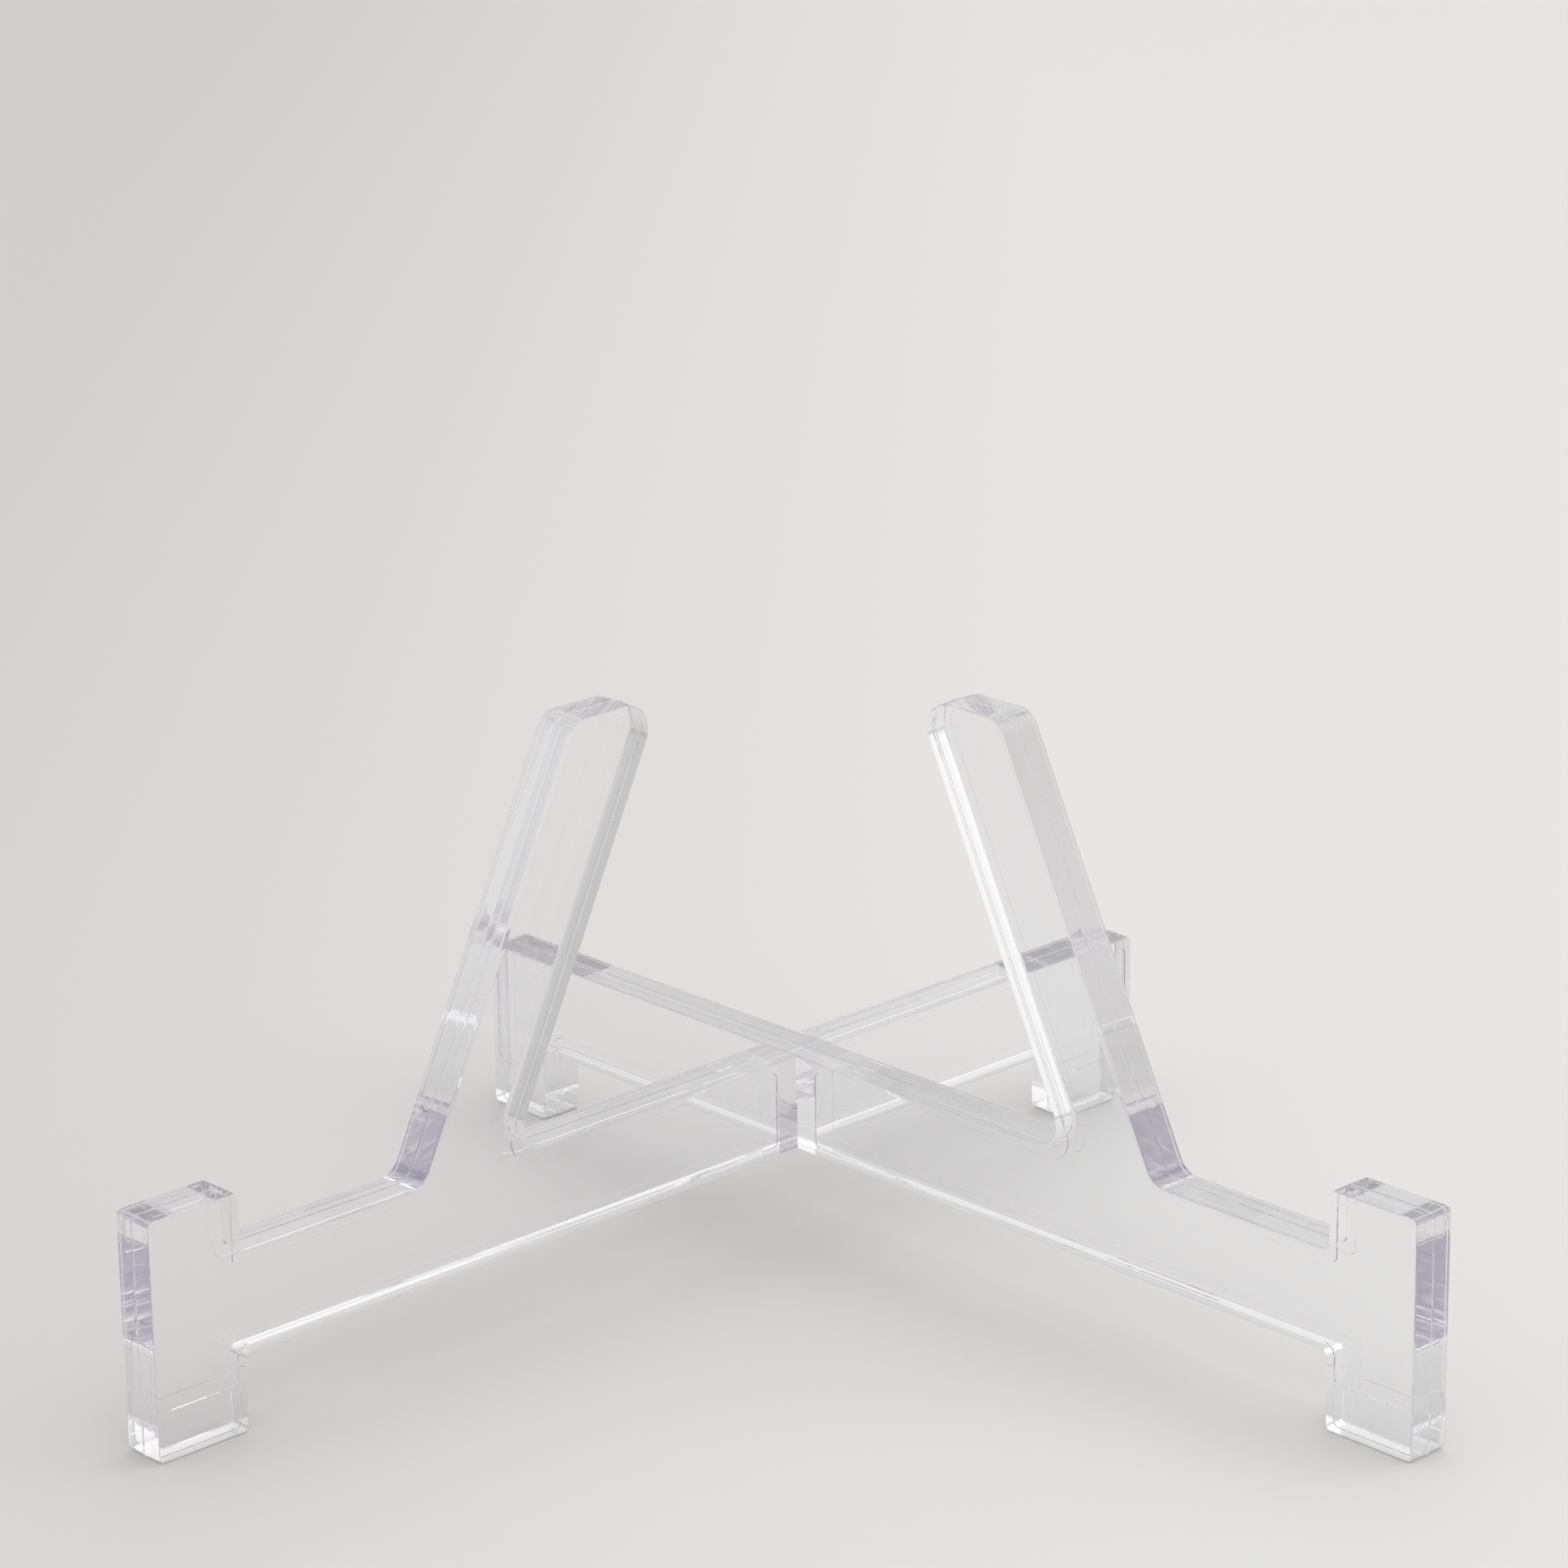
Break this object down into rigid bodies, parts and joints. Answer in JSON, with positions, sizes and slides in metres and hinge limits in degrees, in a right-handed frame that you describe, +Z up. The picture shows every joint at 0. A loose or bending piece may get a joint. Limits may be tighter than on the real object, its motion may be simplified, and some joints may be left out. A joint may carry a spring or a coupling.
{
  "type": "plate display stand",
  "caption": "Clear moulded plastic plate stand: crossed halves slotted together at right angles, with H-shaped front feet, lugs that stop the plate and leaning back rests.",
  "frame": {"origin": "middle of the stand's footprint, on the table", "axes": "+Z up, the front feet and the plate face -Y, +X to the right as seen from the front"},
  "size_m": [0.2106, 0.1662, 0.104],
  "materials": {
    "clear_plastic": "clear, polished, moulded"
  },
  "bodies": {
    "lower_half": {"lower_cross_half": "clear_plastic"},
    "upper_half": {"upper_cross_half": "clear_plastic"}
  },
  "joints": [
    {"name": "lift_apart", "type": "slide", "parent": "lower_half", "child": "upper_half", "axis": [0, 0, 1], "range_m": [0, 0.06]}
  ]
}
